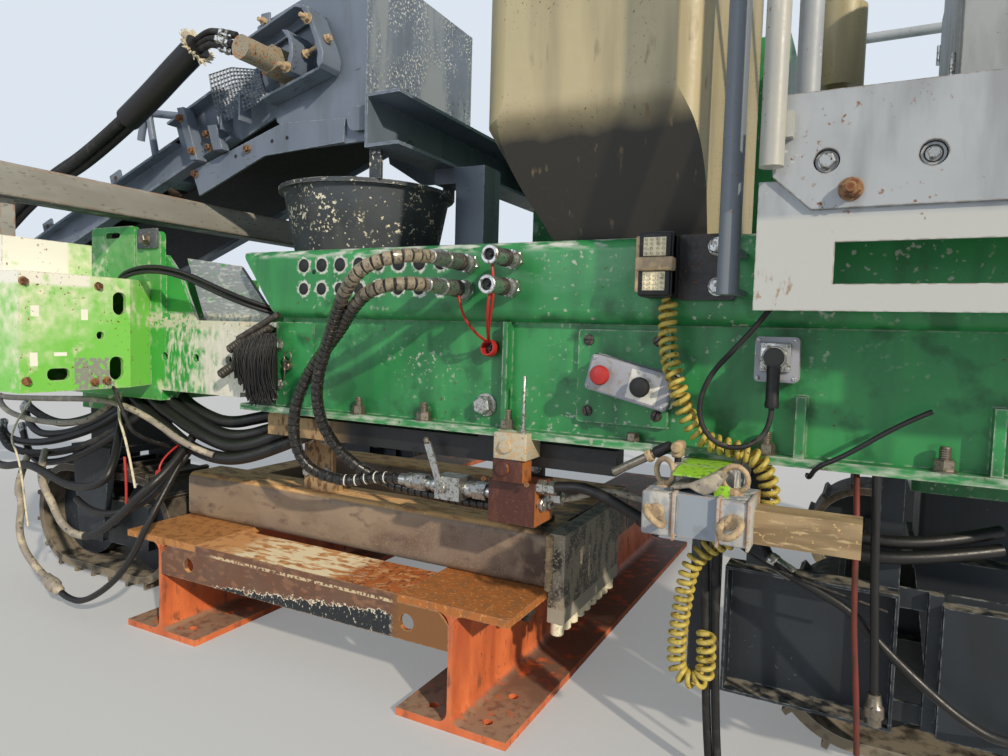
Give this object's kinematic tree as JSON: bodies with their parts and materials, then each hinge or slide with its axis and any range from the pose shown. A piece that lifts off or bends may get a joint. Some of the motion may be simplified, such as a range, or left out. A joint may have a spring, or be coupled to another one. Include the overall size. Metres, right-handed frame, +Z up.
{
  "type": "slipform paver",
  "caption": "Compact four-track slipform paver with side mould, charging conveyor and operator deck, its mould set on a beam stand.",
  "frame": {"origin": "centre of the footprint on the ground", "axes": "+X forward, +Y to the left side, +Z up"},
  "size_m": [6, 2.9, 2.3],
  "materials": {
    "black_paint": "satin paint",
    "black_plastic": "moulded",
    "bright_steel": "zinc plated",
    "green_paint": "worn gloss enamel",
    "grey_paint": "satin paint with concrete splashes",
    "khaki_tank": "dusty satin paint",
    "light_grey_paint": "scuffed satin paint",
    "orange_paint": "primer, rusted at the edges",
    "red_brown_paint": "satin",
    "rubber": "matt",
    "rusty_steel": "rusted mill scale",
    "track_steel": "worn and muddy",
    "yellow_jacket": "curly cable jacket"
  },
  "bodies": {
    "chassis": {"side_beam_left": "green_paint", "side_beam_right": "green_paint", "cross_beams": "green_paint", "front_brackets": "green_paint", "rear_brackets": "green_paint", "stand_beams": "orange_paint", "stand_angle": "rusty_steel", "mould_frame": "rusty_steel", "mould_end_plate": "rusty_steel", "mould_hangers": "black_paint", "hopper_channel": "rusty_steel", "drop_funnel": "grey_paint", "water_tank": "khaki_tank", "platform_deck": "light_grey_paint", "side_plates": "light_grey_paint", "guard_rails": "light_grey_paint", "control_console": "light_grey_paint", "access_ladder": "light_grey_paint", "engine_block": "black_paint", "engine_bay": "green_paint", "exhaust_stack": "bright_steel", "air_cleaner": "khaki_tank", "sensor_boom": "rusty_steel", "grab_rails": "light_grey_paint", "cover_plate": "green_paint", "socket_box": "grey_paint", "connector_box": "grey_paint", "control_box": "grey_paint", "hose_couplers": "bright_steel", "valve_manifold": "red_brown_paint", "shutoff_valve": "bright_steel", "clamp_block": "black_paint", "leg_guard": "light_grey_paint", "guarded_hoses": "bright_steel", "curly_cable": "yellow_jacket", "socket_plug": "black_plastic", "socket_cable": "rubber", "lift_foot": "grey_paint"},
    "leg_front_left": {"leg_tube_front_left": "grey_paint"},
    "track_front_left": {"track_frame_front_left": "grey_paint", "track_loop_front_left": "track_steel"},
    "leg_front_right": {"leg_tube_front_right": "grey_paint"},
    "track_front_right": {"track_frame_front_right": "grey_paint", "track_loop_front_right": "track_steel"},
    "leg_rear_left": {"leg_tube_rear_left": "grey_paint"},
    "track_rear_left": {"track_frame_rear_left": "grey_paint", "track_loop_rear_left": "track_steel"},
    "leg_rear_right": {"leg_tube_rear_right": "grey_paint"},
    "track_rear_right": {"track_frame_rear_right": "grey_paint", "track_loop_rear_right": "track_steel"},
    "conveyor": {"conveyor_frame": "grey_paint", "conveyor_belt": "rubber", "conveyor_drums": "track_steel", "conveyor_motor": "rusty_steel", "feed_hopper": "grey_paint", "discharge_hood": "grey_paint", "conveyor_shield": "grey_paint"},
    "lift_barrel": {"lift_barrel": "black_paint"},
    "lift_rod": {"lift_rod": "bright_steel"},
    "engine_door": {"engine_door": "green_paint"}
  },
  "joints": [
    {"name": "lift_front_left", "type": "slide", "parent": "chassis", "child": "leg_front_left", "axis": [0, 0, -1], "range_m": [-0.03, 0.25]},
    {"name": "steer_front_left", "type": "hinge", "parent": "leg_front_left", "child": "track_front_left", "pos_m": [0.62, 0.735, 0.49], "axis": [0, 0, 1], "range_deg": [-20, 20]},
    {"name": "lift_front_right", "type": "slide", "parent": "chassis", "child": "leg_front_right", "axis": [0, 0, -1], "range_m": [-0.03, 0.25]},
    {"name": "steer_front_right", "type": "hinge", "parent": "leg_front_right", "child": "track_front_right", "pos_m": [0.62, -0.735, 0.49], "axis": [0, 0, 1], "range_deg": [-20, 20]},
    {"name": "lift_rear_left", "type": "slide", "parent": "chassis", "child": "leg_rear_left", "axis": [0, 0, -1], "range_m": [-0.03, 0.25]},
    {"name": "steer_rear_left", "type": "hinge", "parent": "leg_rear_left", "child": "track_rear_left", "pos_m": [-2.02, 0.575, 0.49], "axis": [0, 0, 1], "range_deg": [-20, 20]},
    {"name": "lift_rear_right", "type": "slide", "parent": "chassis", "child": "leg_rear_right", "axis": [0, 0, -1], "range_m": [-0.03, 0.25]},
    {"name": "steer_rear_right", "type": "hinge", "parent": "leg_rear_right", "child": "track_rear_right", "pos_m": [-2.02, -0.575, 0.49], "axis": [0, 0, 1], "range_deg": [-20, 20]},
    {"name": "conveyor_tilt", "type": "hinge", "parent": "chassis", "child": "conveyor", "pos_m": [-0.475, 0.49, 1.53], "axis": [0, -1, 0], "range_deg": [-1, 6]},
    {"name": "barrel_pivot", "type": "hinge", "parent": "chassis", "child": "lift_barrel", "pos_m": [0.51, 0.49, 0.82], "axis": [0, -1, 0], "range_deg": [-2.41, 11.98]},
    {"name": "rod_stroke", "type": "slide", "parent": "lift_barrel", "child": "lift_rod", "axis": [0.9955, 0, 0.0943], "range_m": [-0.01722, 0.0933]},
    {"name": "engine_door_swing", "type": "hinge", "parent": "chassis", "child": "engine_door", "pos_m": [-0.668, -0.975, 1.5], "axis": [0, 0, 1], "range_deg": [0, 105]}
  ],
  "couplings": [
    {"joint": "barrel_pivot", "follows": "conveyor_tilt", "ratio": 1.9134},
    {"joint": "rod_stroke", "follows": "conveyor_tilt", "m_per_rad": 0.87183}
  ]
}
